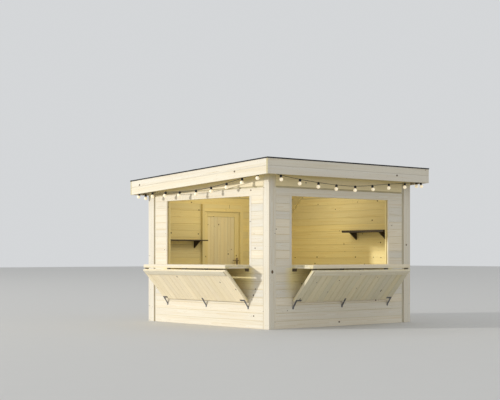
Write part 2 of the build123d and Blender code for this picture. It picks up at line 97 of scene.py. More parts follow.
def linkMesh(bm, name, material):  # bmesh to a named object at the origin
    mesh = bpy.data.meshes.new(name)
    bm.to_mesh(mesh)
    bm.free()
    mesh.materials.append(material)
    made = bpy.data.objects.new(name, mesh)
    bpy.context.scene.collection.objects.link(made)
    return made


def block(bm, low, high):
    low, high = Vector(low), Vector(high)
    place = Matrix.Translation((low + high) / 2) @ Matrix.Diagonal((*(high - low), 1.0))
    bmesh.ops.create_cube(bm, size=1.0, matrix=place)


def easeEdges(bm, edges, radius, segments):
    bmesh.ops.bevel(
        bm, geom=edges, offset=radius, offset_type="OFFSET", segments=segments, profile=0.5,
        affect="EDGES", material=-1, clamp_overlap=True,
    )


def facing(spot, normal):  # the place of something small on a face
    return Matrix.Translation(spot) @ Vector(normal).to_track_quat("Z", "Y").to_matrix().to_4x4()


def settle(piece, body, slot, *stoodFor):  # where a piece rides, and what it stands for; the slot argument is not used
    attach(piece, body)
    if stoodFor:
        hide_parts(*stoodFor)


# Shader maths: a Wire is a socket that can stand in a sum
class Wire:
    def __init__(self, finish, socket):
        self.finish = finish
        self.socket = socket

    def output(self, name):
        return Wire(self.finish, self.socket.node.outputs[name])

    def parts(self):  # a vector's three numbers
        split = self.finish.node("ShaderNodeSeparateXYZ", {}, {0: self})
        return [split.output(axis) for axis in "XYZ"]

    def maths(self, operation, *others):
        values = dict(enumerate((self, *others)))
        return self.finish.node("ShaderNodeMath", {"operation": operation}, values)

    def swapped(self, operation, other):
        return self.finish.node("ShaderNodeMath", {"operation": operation}, {0: other, 1: self})

    def __add__(self, other):
        return self.maths("ADD", other)

    def __sub__(self, other):
        return self.maths("SUBTRACT", other)

    def __mul__(self, other):
        return self.maths("MULTIPLY", other)

    def __truediv__(self, other):
        return self.maths("DIVIDE", other)

    def __pow__(self, other):
        return self.maths("POWER", other)

    def __rsub__(self, other):
        return self.swapped("SUBTRACT", other)

    def __rtruediv__(self, other):
        return self.swapped("DIVIDE", other)

    __radd__ = __add__
    __rmul__ = __mul__

    def clamped(self):
        return self.finish.node("ShaderNodeClamp", {}, {0: self})


class Finish:  # one material and its nodes
    def __init__(self, name):
        self.material = bpy.data.materials.new(name)
        self.material.use_nodes = True
        self.tree = self.material.node_tree
        self.tree.nodes.clear()

    def node(self, kind, settings, values, output=0):
        made = self.tree.nodes.new(kind)
        for key, value in settings.items():
            setattr(made, key, value)
        for key, value in values.items():
            if isinstance(value, Wire):
                self.tree.links.new(value.socket, made.inputs[key])
            else:
                made.inputs[key].default_value = value
        return Wire(self, made.outputs[output])

    def mix(self, factor, first, second, blend="MIX"):  # two colours
        settings = {"data_type": "RGBA", "blend_type": blend}
        return self.node("ShaderNodeMix", settings, {0: factor, 6: first, 7: second}, 2)

    def stretched(self, vector, scale):  # a vector times three numbers
        return self.node("ShaderNodeVectorMath", {"operation": "MULTIPLY"}, {0: vector, 1: scale})

    def noise(self, vector, scale, detail=2.0, roughness=0.5):
        values = {"Vector": vector, "Scale": scale, "Detail": detail, "Roughness": roughness}
        return self.node("ShaderNodeTexNoise", {}, values)

    def cells(self, vector, size, output):  # scattered points, one in each cell, with a random colour each
        grid = self.stretched(vector, (1 / size[0], 1 / size[1], 0))
        values = {"Vector": grid, "Scale": 1.0, "Randomness": 1.0}
        points = self.node("ShaderNodeTexVoronoi", {"voronoi_dimensions": "2D"}, values, output)
        return points, self.node("ShaderNodeSeparateColor", {}, {0: points.output("Color")}, "Red")

    def objectAt(self):
        return self.node("ShaderNodeTexCoord", {}, {}, "Object")

    def attribute(self, name, output="Fac"):
        return self.node("ShaderNodeAttribute", {"attribute_name": name}, {}, output)

    def done(self, values, height=None):  # the surface, with a height in metres for its bump
        if height is not None:
            bump = {"Height": height, "Strength": 1.0, "Distance": 1.0}
            values = {**values, "Normal": self.node("ShaderNodeBump", {}, bump)}
        surface = self.node("ShaderNodeBsdfPrincipled", {}, values)
        end = self.tree.nodes.new("ShaderNodeOutputMaterial")
        self.tree.links.new(surface.socket, end.inputs["Surface"])
        return self.material


def tint(*seen):  # a colour as seen on a screen, 0 to 255, made linear
    shares = [c / 255 for c in seen]
    return tuple(((c + 0.055) / 1.055) ** 2.4 if c > 0.04 else c / 12.92 for c in shares) + (1,)


# Spruce: growth rings round a pith outside each board, knots that the rings bend round
spruce = dict(
    outside=tint(236, 231, 218), outsideWarm=tint(234, 222, 197),
    # indoor faces: the gold of unweathered wood, deepened as painted warm bounce light
    inside=tint(235, 222, 171), insideWarm=tint(231, 215, 155), indoorsFrom=0.022, indoorsEdge=0.0033,
    # eaves keys: painted warm shade on the walls just under the fascias
    eavesDrop=0.085, eavesGold=0.85, eavesReach=0.05,
    shadeDrop=0.50, shadeFade=1.6, shadeSide=0.15, paintedBounceLight=0.22,  # painted warm shade and painted bounce light on the wall behind the open shutters
    skin=0.03, margin=0.01,  # how deep a wall's outer face goes, and the play round it
    latewood=(0.82, 0.72, 0.56, 1), latewoodShare=0.36, streakShare=0.42,
    ringWidth=0.0048, ringWander=0.030, ringBend=1.4,
    wander=(0.8, 3.0, 3.0), streaks=(0.9, 34.0, 34.0), fibres=(14.0, 900.0, 900.0),  # noise drawn out
    knotCell=(0.30, 0.12), knotSmall=0.0030, knotRange=0.0080, knotShare=0.12, knotMoreIndoors=1.3,
    knotLength=0.6, knotReach=0.12, knotAway=40.0, knotSoft=4.0, rimSoft=6.0, rimTo=1.15, rimFrom=0.8,
    knot=tint(94, 66, 34), knotRim=tint(60, 40, 20), knotDark=0.95, rimDark=0.7, pinDark=0.75,
    placedFrom=0.002,  # a board whose own knot has a larger radius shows no others
    pinCell=(0.110, 0.045), pinRadius=0.038, pinSoft=80.0, pinShare=0.42,
    lightFrom=0.875, lightByTone=0.15, lightByPlace=0.10,
)


def goldenShare(at, gold):  # how far indoors a face is, the painted warm shade behind a shutter and under the eaves, and how golden in all
    x, y, z = at.parts()
    x, y = x - centre.x, y - centre.y
    out = x.maths("ABSOLUTE").maths("MAXIMUM", y.maths("ABSOLUTE"))
    indoors = ((halfPlan - spruce["indoorsFrom"] - out) / spruce["indoorsEdge"]).clamped()
    # painted warm shade: the wall turns golden towards the fascia's lower edge, where the eaves shade it
    underRoof = (y + roofOut) * slope + z - (sideHigh.z - fasciaHeight - spruce["eavesDrop"])
    eavesShade = (underRoof / spruce["eavesDrop"]).clamped()
    eavesShade = eavesShade * out.maths("LESS_THAN", halfPlan + spruce["eavesReach"]) * spruce["eavesGold"]
    # painted warm shade behind the shutters: the outer faces of the front and left walls, as wide as the
    # openings, golden and lighter below the counters
    fromMiddle = (x.maths("MAXIMUM", y) - (openLow + openHigh) / 2).maths("ABSOLUTE")
    beside = ((fromMiddle - (openHigh - openLow) / 2) / spruce["shadeSide"]).clamped()
    shadeBelow = (((z - counterLow.z) / spruce["shadeDrop"] + 1.0) * spruce["shadeFade"]).clamped()
    shadeBelow = shadeBelow * z.maths("LESS_THAN", counterLow.z + spruce["margin"])
    onFace = x.maths("MINIMUM", y).maths("LESS_THAN", spruce["skin"] - halfPlan)
    paintedShutterShade = shadeBelow * (1.0 - beside) * onFace * out.maths("LESS_THAN", halfPlan + spruce["margin"])
    golden = indoors.maths("MAXIMUM", gold).maths("MAXIMUM", eavesShade).maths("MAXIMUM", paintedShutterShade)
    return indoors, paintedShutterShade, golden


def knotMarks(finish, grain, indoors):  # the knots, their dark rims, and how the rings bend round them
    u, v = grain.parts()[:2]

    def distance(atU, atV):  # shorter along the grain, so a knot is an oval
        return ((atU - u) ** 2.0 * spruce["knotLength"] + (atV - v) ** 2.0) ** 0.5

    # one point a cell, most left out; the boards indoors have more
    points, colour = finish.cells(grain, spruce["knotCell"], "Position")
    share = (indoors * spruce["knotMoreIndoors"] + 1.0) * spruce["knotShare"]
    chosen = colour.output("Green").maths("GREATER_THAN", 1.0 - share)
    radius = colour * spruce["knotRange"] + spruce["knotSmall"]
    knotU, knotV = points.parts()[:2]
    spotU, spotV, spotRadius = finish.attribute("knot", "Vector").parts()
    placed = spotRadius.maths("GREATER_THAN", spruce["placedFrom"])
    ownNear = distance(knotU * spruce["knotCell"][0], knotV * spruce["knotCell"][1]) / radius
    ownNear = ownNear + (1.0 - chosen + placed) * spruce["knotAway"]  # moved out of reach
    spotNear = distance(spotU, spotV) / spotRadius
    near = ownNear.maths("MINIMUM", spotNear)
    knot = ((1.0 - near) * spruce["knotSoft"]).clamped()
    inner = ((spruce["rimFrom"] - near) * spruce["rimSoft"]).clamped()
    rim = ((spruce["rimTo"] - near) * spruce["rimSoft"]).clamped() * (1.0 - inner)
    bend = ((ownNear ** 2.0) * -spruce["knotReach"]).maths("EXPONENT") * radius
    return knot, rim, bend + ((spotNear ** 2.0) * -spruce["knotReach"]).maths("EXPONENT") * spotRadius


def spruceFinish(name):  # each board carries its grain's direction, its tone, how golden it is and one knot
    finish = Finish(name)
    grain = finish.attribute("grain", "Vector")
    tone = finish.attribute("tone")
    indoors, paintedShutterShade, golden = goldenShare(finish.objectAt(), finish.attribute("gold"))
    knot, rim, bend = knotMarks(finish, grain, indoors)

    # Pin knots
    pins, pinColour = finish.cells(grain, spruce["pinCell"], "Distance")
    pinChosen = pinColour.output("Blue").maths("LESS_THAN", spruce["pinShare"])
    pin = ((spruce["pinRadius"] - pins) * spruce["pinSoft"]).clamped() * pinChosen

    # Rings, the streaks that they make along a board, and fibres
    v, w = grain.parts()[1:]
    wander = finish.noise(finish.stretched(grain, spruce["wander"]), 1.0)
    fromPith = (v ** 2.0 + w ** 2.0) ** 0.5 + wander * spruce["ringWander"] + bend * spruce["ringBend"]
    late = (fromPith / spruce["ringWidth"]).maths("FRACT") ** 2.5
    streaks = finish.noise(finish.stretched(grain, spruce["streaks"]), 1.0, 3.0, 0.55) - 0.5
    fibres = finish.noise(finish.stretched(grain, spruce["fibres"]), 1.0, 1.0)

    warm = (tone * 0.75 + streaks * 0.9 + 0.1).clamped()
    outer = finish.mix(warm, spruce["outside"], spruce["outsideWarm"])
    inner = finish.mix(warm, spruce["inside"], spruce["insideWarm"])
    wood = finish.mix(golden, outer, inner)
    lateWood = finish.mix(1.0, wood, spruce["latewood"], "MULTIPLY")
    lateShare = late * spruce["latewoodShare"] + (streaks * 3.0).clamped() * spruce["streakShare"]
    wood = finish.mix(lateShare, wood, lateWood)
    wood = finish.mix(pin * spruce["pinDark"], wood, spruce["knotRim"])
    wood = finish.mix(knot * spruce["knotDark"], wood, spruce["knot"])
    wood = finish.mix(rim * spruce["rimDark"], wood, spruce["knotRim"])
    # painted bounce light: the wall behind the shutters is made lighter
    light = tone * spruce["lightByTone"] + spruce["lightFrom"] + paintedShutterShade * spruce["paintedBounceLight"]
    light = light + finish.noise(grain, 0.5, 1.0) * spruce["lightByPlace"]
    wood = finish.node("ShaderNodeVectorMath", {"operation": "SCALE"}, {0: wood, "Scale": light})
    roughness = late * -0.10 + fibres * 0.12 + 0.60
    values = {"Base Color": wood, "Roughness": roughness, "Specular IOR Level": 0.28}
    return finish.done(values, late * 0.00018 + fibres * 0.00008 - knot * 0.0004)


# Roofing felt: black bitumen with fine mineral grit
felt = dict(
    dark=tint(36, 36, 38), light=tint(92, 92, 93), specks=0.45, worn=0.45,
    grit=0.0022, gritHigh=0.0005, patchHigh=0.002, runs=(9.0, 0.6, 0.6),
)


def feltFinish(name):
    finish = Finish(name)
    at = finish.objectAt()
    grit = finish.noise(at, 1 / felt["grit"])
    patches = finish.noise(at, 1.7, 4.0, 0.65)
    runs = finish.noise(finish.stretched(at, felt["runs"]), 1.0, 3.0, 0.6)  # where rain has run down
    speck = ((grit - 0.52) * 7.0).clamped()
    worn = ((patches - 0.42) * 1.8 + (runs - 0.5) * 1.2).clamped()
    colour = finish.mix(speck * felt["specks"] + worn * felt["worn"], felt["dark"], felt["light"])
    values = {"Base Color": colour, "Roughness": 0.96 - speck * 0.12, "Specular IOR Level": 0.25}
    return finish.done(values, grit * felt["gritHigh"] + patches * felt["patchHigh"])


# Steel: zinc under a thin coat, a little rubbed
def steelFinish(name, dark, light, metallic):
    finish = Finish(name)
    at = finish.objectAt()
    mottle = finish.noise(at, 60.0, 4.0, 0.6)
    fine = finish.noise(at, 700.0)
    colour = finish.mix(((mottle - 0.35) * 2.0).clamped(), dark, light)
    values = {"Base Color": colour, "Metallic": metallic, "Roughness": mottle * 0.25 + 0.34}
    return finish.done(values, fine * 0.00004)


# Painted shelf, black rubber of the cable, moulded sockets
def plainFinish(name, dark, light, roughness, scale, bump):
    finish = Finish(name)
    at = finish.objectAt()
    mottle = finish.noise(at, scale, 3.0, 0.6)
    fine = finish.noise(at, scale * 9, 1.0)
    colour = finish.mix(mottle, dark, light)
    return finish.done({"Base Color": colour, "Roughness": mottle * 0.15 + roughness}, fine * bump)


# Opal glass of the bulbs, lit a little
bulb = dict(glass=tint(255, 246, 222), shaded=tint(240, 222, 184), glow=(1.0, 0.86, 0.62, 1), strength=0.45)


def bulbFinish(name):
    finish = Finish(name)
    at = finish.objectAt()
    cloud = finish.noise(at, 45.0)
    colour = finish.mix(cloud, bulb["glass"], bulb["shaded"])
    return finish.done({
        "Base Color": colour, "Roughness": cloud * 0.1 + 0.14, "Emission Color": bulb["glow"],
        "Emission Strength": bulb["strength"], "Coat Weight": 0.6, "Coat Roughness": 0.08,
    })


boardWood = spruceFinish("spruceBoards")
roofFelt = feltFinish("roofFelt")
darkSteel = steelFinish("darkSteel", tint(54, 55, 60), tint(92, 93, 98), 0.75)
hingeSteel = steelFinish("hingeSteel", tint(112, 100, 82), tint(146, 134, 112), 0.2)
handleSteel = steelFinish("handleSteel", tint(120, 106, 88), tint(146, 130, 108), 0.25)
bracketSteel = steelFinish("bracketSteel", tint(92, 93, 99), tint(128, 128, 130), 0.4)
darkShelf = plainFinish("darkShelf", tint(40, 32, 28), tint(62, 50, 42), 0.42, 30.0, 0.00006)
cableRubber = plainFinish("cableRubber", tint(66, 60, 50), tint(92, 84, 70), 0.55, 220.0, 0.00004)
socketPlastic = plainFinish("socketPlastic", tint(18, 18, 19), tint(34, 34, 36), 0.38, 160.0, 0.00003)
opalGlass = bulbFinish("opalGlass")
print("finishes made")


# String lights: one cable a side. Points are (along the side, height above the front fascia's lower edge)
routes = {
    "front": [
        (-1.640, 0.030), (-1.413, -0.012), (-1.038, -0.056), (-0.666, -0.088), (-0.290, -0.108),
        (0.087, -0.114), (0.459, -0.087), (0.843, -0.047), (1.213, -0.021), (1.585, 0.002), (1.640, 0.011),
    ],
    "left": [
        (-1.640, 0.038), (-1.425, 0.012), (-1.087, -0.035), (-0.721, -0.091), (-0.341, -0.135),
        (0.038, -0.164), (0.429, -0.168), (0.807, -0.156), (1.173, -0.149), (1.545, -0.152), (1.640, -0.145),
    ],
    "back": [
        (-1.640, -0.140), (-1.463, -0.156), (-1.091, -0.195), (-0.719, -0.224), (-0.347, -0.243),
        (0.025, -0.250), (0.397, -0.242), (0.769, -0.221), (1.141, -0.190), (1.513, -0.153), (1.640, -0.138),
    ],
    "right": [
        (-1.640, 0.036), (-1.498, 0.015), (-1.126, -0.031), (-0.754, -0.085), (-0.382, -0.130),
        (-0.010, -0.160), (0.362, -0.168), (0.734, -0.162), (1.106, -0.154), (1.478, -0.149), (1.640, -0.141),
    ],
}
leans = {  # how far each bulb hangs out of plumb, in degrees
    "front": (8, -10, -4, -6, -4, 17, -6, -4, 18),
    "left": (3, 8, 5, 0, 2, 24, 28, 3, 26),
    "back": (2, -7, 5, 12, -3, 6, -14, 4, -8),
    "right": (4, -9, 3, 15, -5, 7, -3, 11, -6),
}
cable = dict(diameter=0.008, length=3.29)
socket = dict(
    radius=0.019, height=0.042, rise=0.008, steps=20,
    ribs=5, ribsFrom=0.016, ribPitch=0.0042, ribHigh=0.0016, ribDeep=0.0012,
)
globe = dict(radius=0.028, neck=0.013, steps=24)


def stringPlace(side, along, z):
    low, high = planBox(side + "_string")
    plane = (low + high) / 2
    return Vector((along, plane.y, z)) if side in ("front", "back") else Vector((plane.x, along, z))


def makeCable(side):
    data = bpy.data.curves.new(side + "String", "CURVE")
    data.dimensions = "3D"
    data.resolution_u = 12
    spline = data.splines.new("NURBS")
    route = routes[side]
    spline.points.add(len(route) - 1)
    for point, (along, rise) in zip(spline.points, route):
        point.co = (*(centre + stringPlace(side, along, fasciaLow + rise)), 1)
    spline.order_u = 3
    spline.use_endpoint_u = True
    made = bpy.data.objects.new(side + "String", data)
    bpy.context.scene.collection.objects.link(made)
    bpy.context.view_layer.update()
    bare = bpy.data.meshes.new_from_object(made.evaluated_get(bpy.context.evaluated_depsgraph_get()))
    line = [v.co.copy() for v in bare.vertices]
    bpy.data.meshes.remove(bare)
    data.bevel_depth = cable["diameter"] / 2
    data.bevel_resolution = 3
    data.use_fill_caps = True
    data.materials.append(cableRubber)
    return made, line


def turned(bm, profile, steps, place):  # a profile of (radius, height) spun about its own upright axis
    start = [bm.verts.new((radius, 0, height)) for radius, height in profile]
    lines = [bm.edges.new(pair) for pair in zip(start, start[1:])]
    before = set(bm.verts) - set(start)
    bmesh.ops.spin(
        bm, geom=start + lines, cent=(0, 0, 0), axis=(0, 0, 1), angle=2 * math.pi, steps=steps,
        use_merge=True,
    )
    fresh = [v for v in bm.verts if v not in before]
    bmesh.ops.remove_doubles(bm, verts=fresh, dist=1e-6)
    fresh = [v for v in bm.verts if v not in before]
    faces = list({f for v in fresh for f in v.link_faces})
    bmesh.ops.recalc_face_normals(bm, faces=faces)
    bmesh.ops.transform(bm, matrix=place, verts=fresh)


def arcPoints(radius, middle, start, end, count):  # (radius, height) points of an arc, angles in degrees
    angles = [math.radians(start + (end - start) * i / count) for i in range(count + 1)]
    return [(radius * math.cos(a), middle + radius * math.sin(a)) for a in angles]


def socketProfile():
    r, top = socket["radius"], socket["rise"]
    low = top - socket["height"]
    shoulder = [(0.45, 0), (0.62, 0.002), (0.68, 0.009), (0.92, 0.0115), (1, 0.0135)]
    points = [(0, top), *((r * share, top - down) for share, down in shoulder)]
    for i in range(socket["ribs"]):  # grip ribs round the skirt
        z = top - socket["ribsFrom"] - i * socket["ribPitch"]
        points += [(r, z), (r - socket["ribDeep"], z - socket["ribHigh"])]
    return [*points, (r, low + 0.004), (r - 0.001, low + 0.001), (r - 0.003, low), (0, low)]


def bulbProfile():
    low = socket["rise"] - socket["height"]
    drop = math.sqrt(globe["radius"] ** 2 - globe["neck"] ** 2)
    ball = arcPoints(globe["radius"], low - drop - 0.003, 56, -90, 13)
    ball[-1] = (0, ball[-1][1])
    neck = [(globe["neck"] - 0.002, low + 0.001), (globe["neck"] - 0.001, low - 0.002)]
    return [(0, low + 0.001), *neck, *ball]


def dressString(side):
    cord, line = makeCable(side)
    sockets, bulbs = bmesh.new(), bmesh.new()
    axis = Vector((1, 0, 0)) if side in ("left", "right") else Vector((0, 1, 0))
    leanSign = 1 if side in ("left", "right") else -1
    for (along, rise), lean in zip(routes[side][1:-1], leans[side]):
        target = centre + stringPlace(side, along, fasciaLow + rise)
        seat = min(line, key=lambda p: (p - target).length)
        place = Matrix.Translation(seat) @ Matrix.Rotation(math.radians(leanSign * lean), 4, axis)
        turned(sockets, socketProfile(), socket["steps"], place)
        turned(bulbs, bulbProfile(), globe["steps"], place)
    socketPiece = linkMesh(sockets, side + "Sockets", socketPlastic)
    bulbPiece = linkMesh(bulbs, side + "Bulbs", opalGlass)
    for face in bulbPiece.data.polygons:
        face.use_smooth = True
    settle(cord, "kiosk", "cable", side + "_string")
    settle(socketPiece, "kiosk", "socket", "string_sockets")
    settle(bulbPiece, "kiosk", "bulb", "string_bulbs")


for side in routes:
    dressString(side)
print("string lights hung")


# Knots that stand out, on the face seen from outside: (along the board, across it, radius). Places are from
# the plan's middle, on a side fascia and a leaf from their own planes
knots = {
    "frontFascia": [(-1.461, 2.290, 0.011), (0.963, 2.315, 0.014), (1.681, 2.276, 0.012)],
    "leftFascia": [
        (-0.972, -0.131, 0.013), (-1.669, -0.203, 0.012), (1.454, -0.093, 0.014), (1.654, -0.172, 0.012),
    ],
    "frontPost": [(0.830, -1.438, 0.019)],
    "rightPost": [(1.238, 1.410, 0.012)],
    "leftFrontPanel": [(-1.070, 1.416, 0.013)],
    "leftApron": [(-1.152, 0.487, 0.011), (-1.197, 0.575, 0.010)],
    "frontApron": [(-0.091, 0.063, 0.013), (-0.781, 0.018, 0.010)],
    "frontFlap": [(0.192, 0.641, 0.017), (0.430, -0.42, 0.008), (0.260, 0.05, 0.007)],
    "leftFlap": [(0.259, -1.020, 0.010)],
}


# How boards differ: where each is cut from its log, and how golden it is. Narrow ones are free of knots
sawing = dict(logs=60, shift=0.4, pithNear=0.015, pithFar=0.06, goldSpread=0.07, narrow=0.05, endGrain=0.6)


class Timber:  # the boards of one wooden piece, named after the node that it stands for
    def __init__(self, node, place=toRow, gold=0.0, name=None):  # gold 0 is pale wood, 1 the wood indoors; on some pieces gold is painted warm shade
        first, *others = node.split("_")
        self.node = node
        self.name = name or first + "".join(word.title() for word in others)
        self.place = place
        self.goldness = gold
        self.endGrain = sawing["endGrain"]
        # painted light: a shift of tone, used on the shutter leaves
        self.paintedLight = 0.0
        self.pick = random.Random(self.name)
        self.bm = bmesh.new()
        self.grain = self.bm.verts.layers.float_vector.new("grain")
        self.knot = self.bm.verts.layers.float_vector.new("knot")
        self.tone = self.bm.verts.layers.float.new("tone")
        self.gold = self.bm.verts.layers.float.new("gold")
        self.done = self.bm.verts.layers.int.new("done")

    def board(self, low, high, along, ease=0.002, local=Matrix(), cuts=(), tone=None, knotted=None):
        low, high = Vector(low), Vector(high)
        middle, size = (low + high) / 2, high - low
        block(self.bm, low, high)
        for point, normal in cuts:
            self.cut(point, normal)
        easeEdges(self.bm, list({e for v in self.fresh() for e in v.link_edges}), ease, 2)
        across, depth = sorted((i for i in range(3) if i != along), key=lambda i: -size[i])
        log = Vector()
        log[along] = self.pick.uniform(0, sawing["logs"])
        log[across] = self.pick.uniform(-sawing["shift"], sawing["shift"]) * size[across] - middle[across]
        pith = size[depth] / 2 + self.pick.uniform(sawing["pithNear"], sawing["pithFar"])
        log[depth] = pith * self.pick.choice((-1, 1)) - middle[depth]
        shade = self.pick.random() if tone is None else tone
        gold = self.goldness + self.pick.uniform(-sawing["goldSpread"], sawing["goldSpread"])
        spot = (-10.0, 0.0, spruce["placedFrom"] * (0.5 if size[across] > sawing["narrow"] else 1.05))
        for a, b, radius in knots.get(knotted or self.name, ()):
            if low[along] < a < high[along] and low[across] < b < high[across] and radius > spot[2]:
                spot = (a + log[along], b + log[across], radius)
        fresh = self.fresh()
        for v in fresh:
            cutAt = v.co + log
            atEnd = self.endGrain * (min(v.co[along] - low[along], high[along] - v.co[along]) < 1e-5)
            v[self.grain] = (cutAt[along], cutAt[across], cutAt[depth])
            v[self.knot] = spot
            v[self.tone] = shade + self.paintedLight - atEnd
            v[self.gold] = gold + atEnd
            v[self.done] = 1
        bmesh.ops.transform(self.bm, matrix=self.place @ local, verts=fresh)

    def fresh(self):  # the points of the board that is being made
        return [v for v in self.bm.verts if not v[self.done]]

    def cut(self, point, normal):  # takes off what lies beyond a plane, and closes the end
        points = self.fresh()
        edges = list({e for v in points for e in v.link_edges})
        faces = list({f for v in points for f in v.link_faces})
        cut = bmesh.ops.bisect_plane(
            self.bm, geom=points + edges + faces, dist=1e-6, plane_co=point, plane_no=normal,
            clear_outer=True,
        )
        edges = [e for e in cut["geom_cut"] if isinstance(e, bmesh.types.BMEdge)]
        bmesh.ops.edgeloop_fill(self.bm, edges=edges)

    def rows(self, low, high, along, stack, lines, ease, gap=0.0, tongue=0.0, local=Matrix()):
        # boards side by side between the given lines, with a tongue across each joint
        across = 3 - along - stack
        last = len(lines) - 2
        for i, (a, b) in enumerate(zip(lines, lines[1:])):
            rowLow, rowHigh = Vector(low), Vector(high)
            rowLow[stack] = a + (gap / 2 if i > 0 else 0)
            rowHigh[stack] = b - (gap / 2 if i < last else 0)
            self.board(rowLow, rowHigh, along, ease, local)
            if tongue and i < last:
                tongueLow, tongueHigh = Vector(low), Vector(high)
                tongueLow[stack], tongueHigh[stack] = b - tongue / 2, b + tongue / 2
                tongueLow[across] += wall["tongueInset"]
                tongueHigh[across] -= wall["tongueInset"]
                tongueLow[along] += wall["tongueShort"]
                tongueHigh[along] -= wall["tongueShort"]
                self.goldness += wall["tongueShadeGold"]
                self.board(tongueLow, tongueHigh, along, wall["tongueEase"], local, tone=0.0)
                self.goldness -= wall["tongueShadeGold"]

    def finish(self, body="kiosk", slot="spruce", material=boardWood):
        bmesh.ops.recalc_face_normals(self.bm, faces=self.bm.faces)
        self.bm.verts.layers.int.remove(self.done)
        settle(linkMesh(self.bm, self.name, material), body, slot, self.node)


# Walls: rows of planed boards with eased edges. At a near end a sunk strip divides them from the corner's
# cover board; at a far end the edge of the next wall's cover board shows beside this wall's own
# the tongues are made golden: painted warm shade in the joints
wall = dict(
    rows=17, ease=0.0042, gap=0.0026, tongue=0.012, tongueInset=0.006, tongueShadeGold=0.9,
    tongueShort=0.001, tongueEase=0.0008, cover=0.104, band=0.012, stripEase=0.001, lap=0.001,
    jamb=0.042, edging=0.012, edgingDeep=0.020, trimEase=0.0015, trimTone=0.1,
)
groove = dict(near=(0.028, 0.004), far=(0.047, 0.019), band=(0.024, 0.020))  # how wide and how deep
# the sunk strips and the band are darker and more golden: painted shade in these grooves
sunkShadeTone = dict(near=0.4, far=-1.2, band=-1.2)
sunkShadeGold = dict(far=0.35, band=0.6)
pitch = headZ / wall["rows"]


def rowLines(low, high):
    inner = [i * pitch for i in range(1, wall["rows"] + 1) if low + 1e-4 < i * pitch < high - 1e-4]
    return [low, *inner, high]


def wallEnd(kind):  # where the cover board and the rows of boards begin, from the middle of the wall
    cover = halfPlan - wall["cover"] - (wallThick if kind == "far" else 0)
    return cover, cover - groove[kind][0]


def sunken(low, high, along, kind):  # a block let in from the wall's outer face
    outward = 1 - along
    low, high = Vector(low), Vector(high)
    if low[outward] < 0:
        low[outward] += groove[kind][1]
    else:
        high[outward] -= groove[kind][1]
    return low, high


def strips(timber, low, high, along, ends):  # the sunk strips at a wall's ends; gives the boards' corners
    boardLow, boardHigh = low.copy(), high.copy()
    for end, kind in ends:
        cover, boards = wallEnd(kind)
        stripLow, stripHigh = sunken(low, high, along, kind)
        if end < 0:
            boardLow[along], stripHigh[along], stripLow[along] = -boards, -boards, -cover - wall["lap"]
        else:
            boardHigh[along], stripLow[along], stripHigh[along] = boards, boards, cover + wall["lap"]
        usual = timber.goldness
        timber.goldness = sunkShadeGold.get(kind, usual)
        timber.board(stripLow, stripHigh, 2, wall["stripEase"], tone=sunkShadeTone[kind])
        timber.goldness = usual
    return boardLow, boardHigh


def wallPart(node, along, ends, trim=None, banded=False):
    # along is the axis that the boards run on: 0 on the front and back, 1 on the sides
    timber = Timber(node)
    low, high = planBox(node)
    boardLow, boardHigh = strips(timber, low, high, along, ends)
    if trim:  # an upright board beside the opening
        trimLow, trimHigh = low.copy(), high.copy()
        if trim == "jamb":
            boardHigh[along] -= wall["jamb"]
            trimLow[along] = boardHigh[along]
        else:  # a rebate is left behind the edging
            boardLow[along] += wall["edging"]
            trimHigh[along] = boardLow[along]
            trimHigh[1 - along] = trimLow[1 - along] + wall["edgingDeep"]
        timber.board(trimLow, trimHigh, 2, wall["trimEase"], tone=wall["trimTone"])
    top = high.z
    if banded:  # a sunk band runs under the top plank, right round the hut
        top -= wall["band"]
        bandLow, bandHigh = sunken(boardLow, boardHigh, along, "band")
        bandLow.z, bandHigh.z = top, high.z + wall["band"] + wall["lap"]
        timber.goldness = sunkShadeGold["band"]
        timber.board(bandLow, bandHigh, along, wall["stripEase"], tone=sunkShadeTone["band"])
        timber.goldness = 0.0
    timber.rows(
        boardLow, boardHigh, along, 2, rowLines(low.z, top), wall["ease"], wall["gap"], wall["tongue"]
    )
    timber.finish()


nearNear = ((-1, "near"), (1, "near"))
nearFar = ((-1, "near"), (1, "far"))
wallPart("front_apron", 0, nearFar)
wallPart("front_left_panel", 0, nearFar[:1], "jamb")
wallPart("front_right_panel", 0, nearFar[1:], "edging")
wallPart("front_header", 0, nearFar, banded=True)
wallPart("left_apron", 1, nearFar)
wallPart("left_front_panel", 1, nearFar[:1], "jamb")
wallPart("left_back_panel", 1, nearFar[1:], "edging")
wallPart("left_header", 1, nearFar, banded=True)
wallPart("right_wall", 1, nearFar, banded=True)
wallPart("back_left_panel", 0, nearNear[:1])
wallPart("back_right_panel", 0, nearNear[1:])
wallPart("back_header", 0, nearNear, banded=True)
print("walls boarded")

# The roof's slope: heights on it are sheared, so upright ends stay upright
roof = dict(deck=0.019, felt=0.004, deckPitch=0.114, deckEase=0.0012)
# gable tone makes the top boards lighter: painted bounce light in the shade of the eaves
gable = dict(plankTop=0.170, thinnest=0.03, spare=0.02, ease=0.0021, tone=1.2)
post = dict(ease=0.0022, tone=0.2)
rafter = dict(width=0.045, count=7, height=0.120, ease=0.0015)
fascia = dict(joint=0.0006, sideEase=0.0028, ease=0.0034, endGrain=1.5)
sheetEdge = planBox("roof_felt")[1].x
onSlope = Matrix.Identity(4)
onSlope[2][1] = -slope
onSlope[2][3] = sideHigh.z - slope * roofOut  # height 0 is the underside of the felt
roofNormal = Vector((0, slope, 1)).normalized()


def roofZ(y, down=0.0):  # the height of the roof's slope, and what is so far below it
    return sideHigh.z - slope * (y + roofOut) - down


atDeck = ((Vector((0, 0, roofZ(0, roof["deck"]))), roofNormal),)  # cuts of a board's upper end
atFelt = ((Vector((0, 0, roofZ(0))), roofNormal),)


